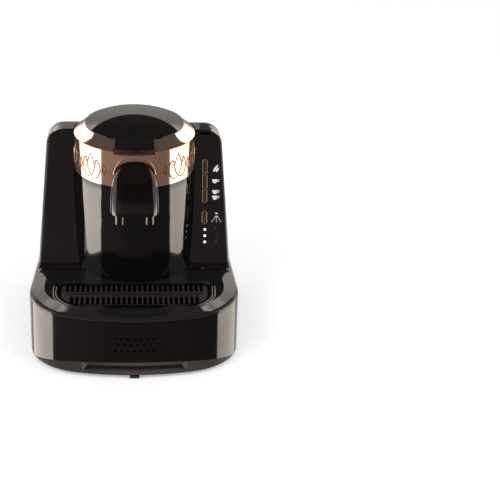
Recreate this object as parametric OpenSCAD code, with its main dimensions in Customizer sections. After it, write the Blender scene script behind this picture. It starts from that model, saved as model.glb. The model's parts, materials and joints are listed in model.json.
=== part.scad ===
// Electric Turkish coffee maker: a wide base with a lift-out drip tray, a leaning tower,
// a round brewing column with a gilt ring and a hinged lid, a two-nozzle spout, a rear tank.
// Millimetres. +Z is up, the front faces -Y, the origin is the centre of the base on the table.

/* [Base] */
// Width of the base across its widest point
base_w = 260; // [250:1:275]
// Front of the base, measured from the origin
base_front = 140; // [136:1:146]
// Back of the base, measured from the origin
base_back = 140; // [138:1:150]
// Radius of the bowed front
front_r = 295; // [260:5:340]
// Radius of the front corners
corner_r = 74; // [66:1:80]
// Height of the rubber feet
foot_h = 5; // [4:0.5:8]
// Height of the seam between the base and the deck
seam_z = 80; // [76:1:84]
// Height of the flat of the deck
deck_z = 88; // [86:1:92]
// Wall thickness of the plastic covers
wall = 2.6; // [2.2:0.1:3.2]

/* [Tower] */
// Lean of the tower face, in mm back per mm up
face_lean = 0.2286; // [0.2:0.01:0.25]
// Height of the shoulders
shoulder_z = 262; // [258:1:266]
// Half width of the tower at the deck
tower_hw = 122.5; // [118:0.5:123]
// Narrowing of each tower side, in mm per mm up
side_taper = 0.0775; // [0.06:0.005:0.09]

/* [Column] */
// How far the axis of the column sits behind the origin
column_y = 29; // [28:1:31]
// Radius of the gilt ring
ring_r = 75.6; // [74:0.2:76.4]
// Height of the gilt ring's lower edge
ring_z = 216; // [212:1:220]
// Radius of the lid
lid_r = 61.4; // [60:0.2:62]
// Radius of the lid's domed surface
dome_r = 140; // [130:5:170]

/* [Spout] */
// Width of the spout hood
hood_w = 60; // [54:1:62]
// Distance between the two nozzles
nozzle_gap = 36.8; // [34:0.2:40]
// Height of the nozzle tips above the table
nozzle_z = 178; // [174:1:184]

/* [Tray] */
// Width of the opening for the drip tray
tray_w = 190; // [180:1:192]
// Distance between neighbouring slots of the grille
slot_pitch = 6.4; // [6:0.1:7]
// Width of one slot of the grille
slot_w = 4.3; // [3.6:0.1:4.6]

/* [Buttons] */
// Width of a button
button_w = 7.2; // [6.4:0.1:8]
// Travel of a button
button_travel = 1.2; // [0.8:0.1:1.4]

/* [Hidden] */
$fn = 96;
eps = 0.01;
gap = 0.4;

// Outline of the base: arcs about fixed centres, so a smaller radius gives a parallel outline
rear_r = 30;
corner_x = base_w / 2 - corner_r;
front_cy = front_r - base_front;
corner_cy = front_cy - sqrt(pow(front_r - corner_r, 2) - pow(corner_x, 2));
front_half = asin(corner_x / (front_r - corner_r));
rear_x = base_w / 2 - 10 - rear_r;
rear_cy = base_back - rear_r;
side_dx = rear_x - corner_x;
side_dy = rear_cy - corner_cy;
side_tilt = atan2(side_dy, side_dx) - acos((corner_r - rear_r) / norm([side_dx, side_dy]));

function arc(cx, cy, r, a0, a1, n) =
    [for (i = [0:n]) let (a = a0 + (a1 - a0) * i / n) [cx + r * cos(a), cy + r * sin(a)]];
function mirrored(points) =
    concat(points, [for (i = [len(points) - 1:-1:0]) [-points[i][0], points[i][1]]]);

// Right half from the front to the back, then its mirror image; d is the inset
function plan(d) = mirrored(concat(
    arc(0, front_cy, front_r - d, -89.4, -90 + front_half, 7),
    arc(corner_x, corner_cy, corner_r - d, -84 + front_half, side_tilt, 9),
    arc(rear_x, rear_cy, rear_r - d, side_tilt, 90, 5)));

module plan_slab(d, z0, z1) {
    translate([0, 0, z0]) linear_extrude(z1 - z0) polygon(plan(d));
}

// Skins a stack of rings, each a list of 3D points in the same order, into one closed solid
module loft(rings) {
    n = len(rings[0]);
    last = (len(rings) - 1) * n;
    polyhedron(
        points = [for (ring = rings) each ring],
        faces = concat(
            [[for (i = [0:n - 1]) i]],
            [for (k = [0:len(rings) - 2], i = [0:n - 1])
                let (a = k * n + i, b = a + n, c = (k + 1) * n + (i + 1) % n, d = c - n)
                each [[a, b, c], [a, c, d]]],
            [[for (i = [n - 1:-1:0]) last + i]]),
        convexity = 6);
}
function lifted(points, z) = [for (p = points) [p[0], p[1], z]];

module at_column() {
    translate([0, column_y, 0]) children();
}
module box(x0, x1, y0, y1, z0, z1) {
    translate([x0, y0, z0]) cube([x1 - x0, y1 - y0, z1 - z0]);
}
module rounded_rect(w, d, r) {
    // exact rounded rectangle, centred
    union() {
        square([w - 2 * r, d], center = true);
        square([w, d - 2 * r], center = true);
        for (x = [-1, 1], y = [-1, 1]) translate([x * (w / 2 - r), y * (d / 2 - r)]) circle(r);
    }
}
module along_x(y, z) {
    translate([0, y, z]) rotate([0, 90, 0]) children();
}

// ---------------------------------------------------------------- base

crease_z = 25.6;        // height of the skirt's crease at the centre of the front
crease_slope = 0.37;    // how fast the crease falls towards the sides
panel_split = -69.6;    // the front panel ends here, the housing starts behind it
chin_inset = 1.6;

function crease_at(y) = crease_z - crease_slope * (y + base_front);

// Extrudes a side view, given as [y, z] points, across the whole width
module side_view(points) {
    translate([-150, 0, 0]) rotate([90, 0, 90]) linear_extrude(300) polygon(points);
}

// Everything below the crease of the front skirt
module below_crease() {
    side_view([[-150, -20], [-40, -20], [-40, crease_at(-40)], [-150, crease_at(-150)]]);
}

vent_rows = [[7, 41], [6, 49.2], [7, 57.4]];
vent_pitch = 7.9;
vent_r = 1.45;
recess_half_top = 57;
recess_half_low = 63;

module front_panel() {
    color([0.11, 0.1, 0.1]) difference() {
        union() {
            difference() {
                union() {
                    difference() {
                        plan_slab(0, foot_h, seam_z);
                        below_crease();
                    }
                    intersection() {
                        plan_slab(chin_inset, foot_h, seam_z);
                        below_crease();
                    }
                }
                plan_slab(wall + chin_inset, foot_h - 1, seam_z + 1);
                box(-150, 150, panel_split, 160, 0, 100);
            }
            // thick block behind the finger recess
            intersection() {
                plan_slab(wall + chin_inset - eps, foot_h, 26);
                box(-68, 68, -140, -119, foot_h, 26);
            }
        }
        // finger recess, wider at the bottom
        translate([0, -123, 0]) rotate([90, 0, 0]) linear_extrude(30)
            polygon([[-recess_half_low, 10], [recess_half_low, 10],
                     [recess_half_top, 19.5], [-recess_half_top, 19.5]]);
        for (row = vent_rows, i = [0:row[0] - 1])
            translate([(i - (row[0] - 1) / 2) * vent_pitch, -120, row[1]])
                rotate([90, 0, 0]) cylinder(r = vent_r, h = 30, $fn = 16);
    }
}

module base_pan() {
    color([0.1, 0.1, 0.1]) difference() {
        union() {
            difference() {
                plan_slab(wall + chin_inset + gap, foot_h, pan_top);
                box(-68.6, 68.6, -150, -118.6, 0, 20);
            }
            intersection() {
                plan_slab(wall, foot_h, pan_top);
                box(-150, 150, panel_split, 150, 0, 20);
            }
            // rails that guide the waste container
            for (x = [-1, 1]) box(x * 103 - 2, x * 103 + 2, -60, -10, pan_top - eps, 40);
            // sockets for the pump mounts
            for (x = mount_x) translate([x, pump_y, pan_top - eps]) cylinder(r = 9, h = 15 - pan_top + eps, $fn = 48);
        }
        // slot of the cup size tab
        box(-15, 15, -116, -111, 0, 10);
        for (x = [-1, 1], y = screw_y) translate([x * 106, y, 0]) cylinder(r = 1.4, h = 20, $fn = 24);
    }
}

gland_x = -80;
gland_z = 22;
cover_half = 64;        // half width of the rear service opening
screw_x = 59;

module base_housing() {
    color([0.11, 0.1, 0.1]) difference() {
        plan_slab(0, foot_h, seam_z);
        plan_slab(wall, foot_h - 1, seam_z + 1);
        box(-150, 150, -150, panel_split + gap, 0, 100);
        // rear window for the tank and the opening of the service cover
        box(-bay_half, bay_half, 100, 150, 41, 90);
        box(-cover_half, cover_half, 100, 150, 11, 35);
        translate([gland_x, 150, gland_z]) rotate([90, 0, 0]) cylinder(r = 8.7, h = 20, $fn = 48);
    }
}

module rear_cover() {
    inside = base_back - wall;
    color([0.12, 0.12, 0.12]) difference() {
        union() {
            box(-cover_half + 0.2, cover_half - 0.2, inside - eps, base_back - 0.4, 11.2, 34.8);
            box(-cover_half - 3, cover_half + 3, inside - 2, inside, 8.2, 38);
        }
        for (i = [-5:5]) translate([i * 9, inside - 5, 23]) rotate([-90, 0, 0])
            linear_extrude(10) rounded_rect(3, 16, 1.4);
        for (x = [-1, 1], z = [15.5, 30.5]) translate([x * screw_x, 0, z]) rotate([-90, 0, 0]) {
            cylinder(r = 3, h = base_back + 1, $fn = 32);
        }
    }
}

module cord_gland() {
    color([0.08, 0.08, 0.08]) translate([gland_x, base_back - 0.4, gland_z]) rotate([90, 0, 0])
        rotate_extrude() polygon([[3.6, 0], [7.4, 0], [8.5, 1.1], [8.5, wall - 0.4],
            [9.6, wall - 0.4], [9.6, 4.6], [3.6, 4.6]]);
}

module feet() {
    color([0.06, 0.06, 0.06]) for (x = [-1, 1], y = [-78, 108])
        translate([x * 88, y, 0]) rotate_extrude($fn = 48)
            polygon([[0, 0], [8.2, 0], [9, 0.8], [9, foot_h], [0, foot_h]]);
}

// Cross-recessed screw, head up, tip down
module screw(head_r, shank_r, length) {
    difference() {
        union() {
            rotate_extrude($fn = 24) polygon([[0, 0], [head_r, 0], [head_r, 1.2], [head_r * 0.6, 2], [0, 2]]);
            translate([0, 0, -length]) cylinder(r = shank_r, h = length + eps, $fn = 24);
        }
        for (a = [0, 90]) rotate(a) box(-head_r * 0.6, head_r * 0.6, -0.4, 0.4, 1, 3);
    }
}

screw_y = [-52, 20, 84];
module base_screws() {
    color("silver") for (x = [-1, 1], y = screw_y)
        translate([x * 106, y, foot_h]) mirror([0, 0, 1]) screw(3.4, 1.4, 2.9);
}

module cover_screws() {
    color("silver") for (x = [-1, 1], z = [15.5, 30.5])
        translate([x * screw_x, base_back - 2.2, z]) rotate([-90, 0, 0]) screw(2.9, 1.2, 2.4);
}

// ---------------------------------------------------------------- deck

crown_in = 18;          // width of the sloping border around the flat of the deck
deck_profile = [[0, seam_z + gap], [0, seam_z + 1.8], [0.5, seam_z + 3.2], [1.7, seam_z + 4.3],
                [3.4, seam_z + 5], [6, seam_z + 5.5], [crown_in, deck_z]];
tray_front = -112;
tray_back = -50.5;
tray_cy = (tray_back + tray_front) / 2;

// Outline of the tray well: large radii at the front, small ones at the back
function tray_outline(d) = mirrored(concat(
    [[1, tray_front + d]],
    arc(tray_w / 2 - 34, tray_front + 34, 34 - d, -90, 0, 10),
    arc(tray_w / 2 - 10, tray_back - 10, 10 - d, 0, 90, 4)));
module tray_slab(d, z0, z1) {
    translate([0, 0, z0]) linear_extrude(z1 - z0) polygon(tray_outline(d));
}

module deck_cover() {
    color([0.12, 0.11, 0.11]) difference() {
        union() {
            difference() {
                loft([for (p = deck_profile) lifted(plan(p[0]), p[1])]);
                loft([lifted(plan(wall), seam_z - 1), lifted(plan(wall), seam_z + 1.2),
                      lifted(plan(6), seam_z + 2.6), lifted(plan(crown_in), deck_z - 3)]);
            }
            // well wall and the ledge that carries the tower
            difference() {
                tray_slab(-2.4, seam_z - 2, deck_z - 1);
                tray_slab(-1, seam_z - 4, deck_z + 1);
            }
            difference() {
                intersection() {
                    plan_slab(wall, seam_z - 1, seam_z + 2.4);
                    box(-150, 150, -40, 150, 0, 100);
                }
                box(-100, 100, -24, 150, 0, 100);
            }
            at_column() translate([0, 0, deck_z - 4]) cylinder(r = 80, h = 4);
            // pocket of the finger notch
            translate([0, tray_front, seam_z - 1]) linear_extrude(deck_z - seam_z)
                rounded_rect(69, 12, 5);
        }
        tray_slab(0, seam_z - 5, deck_z + 5);
        // finger notch in front of the tray
        translate([0, tray_front, seam_z + 0.6]) linear_extrude(20) rounded_rect(66, 9, 4);
        // bed of the tower, and the cable opening inside the column
        difference() {
            tower_solid(-0.3, 0, tower_foot);
            at_column() cylinder(r = foot_r + 0.2, h = 200);
        }
        at_column() translate([0, 0, seam_z - 5]) cylinder(r = 55, h = 20);
        box(-bay_half, bay_half, bay_y - 2.9, 150, 0, 100);
    }
}

// ---------------------------------------------------------------- tower

tower_foot = seam_z + 2.4;
face_y0 = -6;           // the face at the height of the deck
crown_flat = 40;        // the top is level up to here, then it falls away
crown_r = 110;
crown_end = 23;         // slope at the back, in degrees
shoulder_r = 22;        // rounding of the shoulders, all the way to the back

function face_y(z) = face_y0 + face_lean * (z - 87);
function tower_half(z) = tower_hw - side_taper * (z - deck_z);
// The face runs out onto the deck in a hollow fillet
flare_r = 8;
function flare(z) = z >= deck_z + flare_r ? 0
    : flare_r - sqrt(pow(flare_r, 2) - pow(min(deck_z + flare_r - z, flare_r), 2));
function tower_ring(z, e) = lifted(mirrored(concat(
    arc(tower_half(z) - 5, face_y(z) - flare(z) + 5, 5 - min(e, 4), -90, -2, 4),
    arc(tower_half(z) - 5.5 - 12, base_back - 2 - 12, 12 - e, 2, 90, 5))), z);

// Side view of the crown, as [y, z] points from front to back, lowered by drop
function crown(drop) = concat(
    [[-60, shoulder_z - drop], [crown_flat, shoulder_z - drop]],
    [for (i = [1:6]) let (a = crown_end * i / 6)
        [crown_flat + crown_r * sin(a), shoulder_z - drop - crown_r * (1 - cos(a))]],
    [[160, shoulder_z - drop - crown_r * (1 - cos(crown_end))
        - (160 - crown_flat - crown_r * sin(crown_end)) * tan(crown_end)]]);
// One side view of the space under the crown, at angle a round the shoulder; far is beyond the shoulder
function crown_section(a, side, e, drop, z0, far) =
    let (top = [for (p = crown(drop))
             [far ? tower_hw + 5 : tower_half(p[1] + drop - shoulder_r) - shoulder_r * (1 - cos(a)) - e,
              p[0], p[1] - shoulder_r * (1 - sin(a)) - (far ? 1 : 0)]],
         last = len(top) - 1)
    concat([[side * top[0][0], -60, z0], [side * top[last][0], 160, z0]],
        [for (i = [last:-1:0]) [side * top[i][0], top[i][1], top[i][2]]]);
// The tower inset by e, with its crown lowered by drop, from z0 upwards
module tower_solid(e, drop, z0) {
    flare_steps = [for (a = [0:18:90]) deck_z + flare_r * (1 - cos(a))];
    turns = [12, 23, 34, 45, 56, 67, 78, 90];
    intersection() {
        loft(concat([tower_ring(z0, e)], [for (z = flare_steps) if (z > z0 + 0.5) tower_ring(z, e)],
            [tower_ring(shoulder_z + 8, e)]));
        loft(concat([crown_section(12, -1, e, drop, z0, true)],
            [for (a = turns) crown_section(a, -1, e, drop, z0, false)],
            [for (i = [len(turns) - 1:-1:0]) crown_section(turns[i], 1, e, drop, z0, false)],
            [crown_section(12, 1, e, drop, z0, true)]));
    }
}

rim_y = 40;             // the tank lid starts behind this line
lid_t = 7;              // height of the tank lid's edge

// Clearance around the column and the ring
foot_r = ring_r + 1.9;  // radius of the column at the deck
module column_space() {
    at_column() rotate_extrude($fn = 120) polygon([[0, 60], [foot_r + 0.3, 60],
        [foot_r + 0.3, deck_z - 1.4], [ring_r + 0.4, ring_z - 1.3], [ring_r + 0.4, 320], [0, 320]]);
}

bay_y = 108.4;
bay_half = 98.4;
button_x = 88.8;
face_angle = atan(face_lean);

// Places children on the tower face at height z: local X across, Y up the face, Z outwards
module on_face(x, z) {
    translate([x, face_y(z), z]) rotate([90 - face_angle, 0, 0]) children();
}

// name, centre height, length along the face, round at top, round at bottom
stack_top = 225.5;
pill_l = 18.2;
pill_step = 19.2 * cos(face_angle);
pill_z = [stack_top - pill_l / 2 * cos(face_angle),
          stack_top - pill_l / 2 * cos(face_angle) - pill_step,
          stack_top - pill_l / 2 * cos(face_angle) - 2 * pill_step,
          152];
led_z = [136.5, 128.5, 120.5];

// Outline of a button; each end is round or square, grown by g
module pill(g, top_round, bottom_round) {
    r = button_w / 2 + g;
    straight = pill_l / 2 - button_w / 2;
    union() {
        square([2 * r, 2 * straight], center = true);
        if (top_round) translate([0, straight]) circle(r, $fn = 48);
        else translate([-r, 0]) square([2 * r, pill_l / 2 + g]);
        if (bottom_round) translate([0, -straight]) circle(r, $fn = 48);
        else translate([-r, -pill_l / 2 - g]) square([2 * r, pill_l / 2 + g]);
    }
}
pill_ends = [[true, false], [false, false], [false, true], [true, true]];

module tower_shell() {
    color([0.1, 0.1, 0.1]) difference() {
        tower_solid(0, 0, tower_foot);
        // hollow, open at the foot, closed under the tank lid
        difference() {
            tower_solid(3, lid_t + 3.4, tower_foot - 1);
            box(-bay_half - 2.6, bay_half + 2.6, bay_y - 2.6, 160, 0, 300);
        }
        // seat of the tank lid
        side_view(concat([[rim_y, 290]],
            [for (p = crown(lid_t + gap)) if (p[0] > rim_y - 1) [max(p[0], rim_y), p[1]]],
            [[160, 290]]));
        box(-bay_half, bay_half, bay_y, 160, 0, 300);
        // room for the back edge of the tank lid when it swings open
        along_x(tank_hinge_y, tank_hinge_z) cylinder(r = 6.4, h = 300, center = true, $fn = 48);
        column_space();
        for (i = [0:3]) on_face(button_x, pill_z[i]) translate([0, 0, -10])
            linear_extrude(20) pill(0.3, pill_ends[i][0], pill_ends[i][1]);
        for (z = led_z) on_face(button_x + 0.9, z) translate([0, 0, -10])
            cylinder(r = 1.6, h = 20, $fn = 32);
        // notch of the tank lid's finger tab
        box(tab_x - 7, tab_x + 7, 24, rim_y + 1, shoulder_z - 6, 290);
    }
}

key_depth = 7.8;        // from the face to the back of a button
switch_h = 1.6;
board_t = 1.6;
module button(i) {
    color([0.45, 0.3, 0.2]) on_face(button_x, pill_z[i]) {
        translate([0, 0, -7]) linear_extrude(8.2) pill(0, pill_ends[i][0], pill_ends[i][1]);
        translate([0, 0, -key_depth]) linear_extrude(1.6)
            square([button_w + 3, pill_l - 3], center = true);
    }
}
module button_flame() { button(0); }
module button_one_cup() { button(1); }
module button_two_cups() { button(2); }
module button_rinse() { button(3); }

module led_lenses() {
    color("white") for (z = led_z) on_face(button_x + 0.9, z) {
        translate([0, 0, -6]) cylinder(r = 1.6, h = 6.4, $fn = 32);
    }
}

module control_board() {
    middle = 172;
    back = key_depth + button_travel + 0.4 + switch_h + board_t;
    color([0.05, 0.3, 0.12]) on_face(button_x + 1.5, middle) translate([0, 0, -back]) {
        linear_extrude(board_t) rounded_rect(22, 118, 2);
        // tactile switches behind the buttons, lamps behind the lenses
        for (z = pill_z) translate([-1.5, (z - middle) / cos(face_angle), board_t])
            box(-3, 3, -3, 3, -eps, switch_h);
        for (z = led_z) translate([-0.6, (z - middle) / cos(face_angle), board_t])
            box(-1.4, 1.4, -1.4, 1.4, -eps, 1.8);
    }
}

module buzzer() {
    color([0.1, 0.1, 0.1]) translate([40, 30, 17.6]) rotate_extrude($fn = 48)
        polygon([[0, 0], [7, 0], [7, 9], [1.2, 9], [1.2, 7.5], [0, 7.5]]);
}

// ---------------------------------------------------------------- column and ring

module column_shell() {
    color([0.12, 0.11, 0.11]) difference() {
        at_column() rotate_extrude($fn = 120) polygon([
            [foot_r, deck_z], [ring_r - 0.4, ring_z], [ring_r - 3.4, ring_z], [foot_r - 3, deck_z]]);
        box(-150, 150, 66, 160, 0, 300);
        // pour tube
        translate([0, 0, pour_z]) rotate([90, 0, 0]) cylinder(r = 5.6, h = 100, $fn = 48);
    }
}

ring_top = shoulder_z;  // the ring's face ends here, a chamfer leads up to the lid
lid_seat = 272.6;
inlet_z = 232;          // the water hose enters here, from the rear left
inlet_turn = 135;

// A round hole through the ring and the pot for the water hose
module inlet_bore(r) {
    at_column() rotate(inlet_turn) translate([40, 0, inlet_z]) rotate([0, 90, 0])
        cylinder(r = r, h = 50, $fn = 32);
}

module decor_band() {
    color([0.86, 0.7, 0.55]) difference() {
        union() {
            at_column() rotate_extrude($fn = 120) polygon([
                [ring_r, ring_z], [ring_r, ring_top - 0.4], [ring_r - 0.6, ring_top + 0.2],
                [lid_r + 0.6, lid_seat - 0.4], [lid_r, lid_seat], [lid_r - 2.4, lid_seat],
                [lid_r - 2.4, 260], [56, 260], [56, 257.6], [72.8, 257.6], [72.8, ring_z]]);
            // ears of the lid hinge
            for (x = [-1, 1])
                box(x * 17.6 - 2, x * 17.6 + 2, hinge_y - 5, hinge_y + 5, 257.6, hinge_z + 4);
        }
        // notch of the finger tab at the front
        box(-24.6, 24.6, -60, column_y - ring_r + 9, ring_top - 3.8, 290);
        // hinge notch and its bores
        box(-15.4, 15.4, hinge_y - 9, 120, 260.4, 290);
        along_x(hinge_y, hinge_z) cylinder(r = pin_r, h = 60, center = true, $fn = 48);
        inlet_bore(3.8);
    }
}

socket_z = 233;
module spout_socket() {
    // round rim that frames the top of the spout hood
    color([0.8, 0.62, 0.46]) difference() {
        translate([0, column_y - ring_r + 6, socket_z]) rotate([90, 0, 0]) rotate_extrude()
            polygon([[23.4, 0], [26, 0], [26, 6.6], [25.4, 7.4], [24, 7.4], [23.4, 6.6]]);
        at_column() cylinder(r = ring_r, h = 300, $fn = 120);
        box(-40, 40, -80, 0, 100, ring_z);
        // front view of the hood, so that the spout can be pulled out
        rotate([90, 0, 0]) linear_extrude(100)
            polygon(mirrored([for (i = [0:12]) let (s = i / 12)
                [hood_half(s) + 0.6, hood_top + 0.8 - (hood_top - hood_bottom) * s]]));
    }
}

pot_r = 50;
pot_z = 196;
module brew_pot() {
    color("silver") difference() {
        at_column() rotate_extrude() polygon(concat(
            [[0, pot_z]], arc(pot_r - 10, pot_z + 10, 10, -90, 0, 6),
            [[pot_r, 260], [lid_r - 3, 260], [lid_r - 3, 261.6], [pot_r - 1.6, 261.6]],
            [for (i = [6:-1:0]) let (a = -90 + 15 * i)
                [pot_r - 10 + 8.4 * cos(a), pot_z + 10 + 8.4 * sin(a)]],
            [[0, pot_z + 1.6]]));
        inlet_bore(2.2);
        translate([0, column_y, pour_z]) rotate([90, 0, 0]) cylinder(r = 3.8, h = 60, $fn = 48);
    }
}
module pot_seal() {
    color([0.3, 0.3, 0.3]) at_column() rotate_extrude()
        polygon([[pot_r + 0.05, 257], [55.9, 257], [55.9, 260], [pot_r + 0.05, 260]]);
}
module heater_plate() {
    color([0.6, 0.6, 0.6]) at_column() rotate_extrude() polygon([
        [5, pot_z - 9], [40, pot_z - 9], [42, pot_z - 7], [42, pot_z - 4], [39, pot_z], [5, pot_z]]);
}
module heater_bracket() {
    color([0.65, 0.65, 0.67]) at_column() translate([0, 0, pot_z - 11]) linear_extrude(2)
        difference() {
            circle(72.5);
            circle(8);
            for (a = [45:90:359]) rotate(a) translate([54, 0]) circle(9);
        }
}
module temp_probe() {
    color([0.75, 0.75, 0.75]) at_column() {
        translate([0, 0, pot_z - 22]) cylinder(r = 3, h = 22, $fn = 32);
        translate([0, 0, pot_z - 26]) cylinder(r = 4.2, h = 6, $fn = 6 * 4);
    }
}

pour_z = 207;
module pour_tube() {
    color([0.85, 0.85, 0.85]) difference() {
        translate([0, column_y - pot_r + 0.6, pour_z]) rotate([90, 0, 0]) cylinder(r = 5, h = 34, $fn = 48);
        translate([0, column_y, pour_z]) rotate([90, 0, 0]) cylinder(r = 3.8, h = 90, $fn = 48);
        at_column() translate([0, 0, pot_z]) cylinder(r = pot_r, h = 60);
    }
}

// ---------------------------------------------------------------- lid

hinge_y = column_y + 66;
hinge_z = 266.4;
pin_r = 1.5;
dome_z = lid_seat + 1.4 - sqrt(dome_r * dome_r - lid_r * lid_r);
function dome(r) = dome_z + sqrt(dome_r * dome_r - r * r);

module brew_lid() {
    tab_r = ring_r + 2.6;
    color([0.12, 0.11, 0.11]) difference() {
        union() {
            at_column() rotate_extrude() polygon(concat(
                [for (i = [0:10]) let (r = lid_r * i / 10) [r, dome(r)]],
                [[lid_r + 0.2, lid_seat + 0.6], [lid_r + 0.2, lid_seat + 0.2],
                 [lid_r - 2, lid_seat + 0.2]],
                [for (i = [10:-1:0]) let (r = (lid_r - 3) * i / 10) [r, dome(r) - 2.4]]));
            // finger tab that carries the dome's slope out over the ring
            intersection() {
                at_column() rotate_extrude() polygon([
                    [lid_r - 4, dome(lid_r - 4) - 2.2], [lid_r - 4, dome(lid_r - 4)],
                    [lid_r, dome(lid_r)], [tab_r - 0.8, 269.4], [tab_r, 268.6],
                    [tab_r, 266.4], [tab_r - 1, 266], [lid_r + 5, 269.4],
                    [lid_r + 0.9, lid_seat + 0.3], [lid_r - 2, lid_seat + 0.2]]);
                translate([0, column_y, 0]) box(-23.8, 23.8, -90, 0, 200, 300);
            }
            // hinge arm and knuckle
            intersection() {
                at_column() rotate_extrude() polygon([
                    [lid_r - 4, lid_seat + 0.6], [lid_r - 4, dome(lid_r - 4)],
                    [lid_r, dome(lid_r)], [66, hinge_z + 4], [66, hinge_z], [lid_r + 0.6, hinge_z - 1]]);
                box(-14.8, 14.8, column_y, 120, 240, 300);
            }
            along_x(hinge_y, hinge_z) cylinder(r = 4, h = 29.6, center = true, $fn = 48);
        }
        along_x(hinge_y, hinge_z) cylinder(r = pin_r + 0.06, h = 60, center = true, $fn = 48);
    }
}
module lid_liner() {
    color([0.2, 0.2, 0.2]) at_column() difference() {
        rotate_extrude() polygon([[0, 268], [55, 268], [57, 270], [57, dome(58.4) - 2.4],
            [55, dome(58.4) - 2.4], [55, 270.4], [53, 269.6], [0, 269.6]]);
        for (a = [0:60:359]) rotate(a) translate([34, 0, 260]) cylinder(r = 2.5, h = 20, $fn = 24);
    }
}
module lid_seal() {
    color([0.75, 0.75, 0.73]) at_column() rotate_extrude() polygon([
        [49.4, 268], [49.4, 265], [50.6, 263.2], [51.4, 262], [54.6, 262], [54.6, 263], [52.8, 265], [52.8, 268]]);
}
module lid_hinge_pin() {
    color("silver") along_x(hinge_y, hinge_z) cylinder(r = pin_r, h = 39.2, center = true, $fn = 48);
}

// ---------------------------------------------------------------- spout

hood_top = 251.5;
hood_bottom = 195.4;
hood_deep = 40;
// s runs from 0 at the top to 1 at the bottom
function hood_half(s) = hood_w / 2 * pow(1 - pow(1 - s, 2.7), 0.4);
function hood_front(s) = column_y - ring_r - 1 - hood_deep * pow(sin(90 * s), 0.85);
function hood_ring(s, t) =
    let (w = max(hood_half(s) - t, 0.6), y0 = column_y - 60, y1 = min(hood_front(s) + t, y0 - 1),
         r = 4.6)
    lifted(concat([[-w, y0]],
        [for (i = [0:16]) let (a = 180 + 180 * i / 16, c = cos(a), q = sin(a))
            [w * sign(c) * pow(abs(c), 2 / r), y0 - 8 + (y0 - 8 - y1) * -pow(abs(q), 2 / r)]],
        [[w, y0]]), hood_top - (hood_top - hood_bottom) * s);

module spout_hood() {
    steps = [0.012, 0.05, 0.11, 0.19, 0.29, 0.41, 0.54, 0.68, 0.84, 1];
    color([0.11, 0.1, 0.1]) difference() {
        loft([for (i = [len(steps) - 1:-1:0]) hood_ring(steps[i], 0)]);
        difference() {
            translate([0, 0, -2]) loft([for (i = [len(steps) - 1:-1:0]) hood_ring(steps[i], 2.2)]);
            box(-60, 60, -120, 0, 180, hood_bottom + 1.8);
        }
        at_column() cylinder(r = ring_r + 0.5, h = 300, $fn = 120);
        for (x = [-1, 1]) translate([x * nozzle_gap / 2, nozzle_y, hood_bottom - 3])
            cylinder(r = 5.3, h = 8, $fn = 48);
    }
}

nozzle_y = -68;
module spout_channel() {
    // tube from the pot, and the trough that splits the coffee between the nozzles
    trough_z = hood_bottom + 6;
    color([0.2, 0.2, 0.2]) difference() {
        union() {
            translate([0, -48.6, pour_z]) rotate([90, 0, 0]) cylinder(r = 7.6, h = 20, $fn = 48);
            box(-21.6, 21.6, -71, -64.6, trough_z, pour_z + 3);
            box(-9, 9, -71, -62, trough_z, pour_z + 4);
        }
        translate([0, -40, pour_z]) rotate([90, 0, 0]) cylinder(r = 5.3, h = 29, $fn = 48);
        box(-20.6, 20.6, -70, -65.6, trough_z + 2, pour_z + 2);
        for (x = [-1, 1]) translate([x * nozzle_gap / 2, nozzle_y, trough_z - 1])
            cylinder(r = 2, h = 4, $fn = 48);
    }
}
module nozzle(side) {
    color([0.1, 0.1, 0.1]) translate([side * nozzle_gap / 2, nozzle_y, 0]) rotate_extrude()
        polygon([[3, nozzle_z], [4.8, nozzle_z], [5.2, nozzle_z + 0.6], [5.2, hood_bottom + 6],
                 [3, hood_bottom + 6]]);
}
module nozzle_left() { nozzle(-1); }
module nozzle_right() { nozzle(1); }

// ---------------------------------------------------------------- tank

tank_half = 95;
tank_front = bay_y + 1;
tank_back = 138.4;
tank_low = 42.2;
tank_high = 220;
valve_x = 60;
valve_y = 124;
tab_x = 88.4;

// Tank outline with rounded rear corners, inset by d
function tank_outline(d) = mirrored(concat(
    arc(tank_half - 4, tank_front + 4, 4 - min(d, 3), -90, 0, 3),
    arc(tank_half - 10, tank_back - 10, 10 - d, 0, 90, 5)));
module tank_slab(d, z0, z1) {
    translate([0, 0, z0]) linear_extrude(z1 - z0) polygon(tank_outline(d));
}

module water_tank() {
    color([0.25, 0.25, 0.28, 0.6]) difference() {
        union() {
            difference() {
                tank_slab(0, tank_low, tank_high);
                tank_slab(2.2, tank_low + 2.4, tank_high + 1);
            }
            // ears of the tank lid hinge
            for (x = [-70, 70]) {
                box(x - 3, x + 3, tank_hinge_y - 3.2, tank_hinge_y + 3.2, 212, tank_hinge_z);
                along_x(tank_hinge_y, tank_hinge_z) translate([0, 0, x - 3])
                    cylinder(r = 3.2, h = 6, $fn = 48);
            }
        }
        translate([valve_x, valve_y, 0]) cylinder(r = 6, h = 60, $fn = 48);
        along_x(tank_hinge_y, tank_hinge_z) cylinder(r = pin_r, h = 200, center = true, $fn = 48);
    }
}
module tank_grip() {
    color([0.15, 0.15, 0.15]) difference() {
        box(-34, 34, tank_front + 2.2, tank_back - 2.2, 206, 212);
        translate([0, (tank_front + tank_back) / 2 + 4, 200]) linear_extrude(20) rounded_rect(58, 13, 6);
    }
}
module tank_valve() {
    color([0.9, 0.9, 0.9]) translate([valve_x, valve_y, 0]) rotate_extrude($fn = 48) polygon([
        [0, tank_low - 5], [4, tank_low - 5], [4, tank_low], [5.9, tank_low], [5.9, tank_low + 2.4],
        [8, tank_low + 2.4], [8, tank_low + 5], [2, tank_low + 9], [0, tank_low + 9]]);
}
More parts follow.
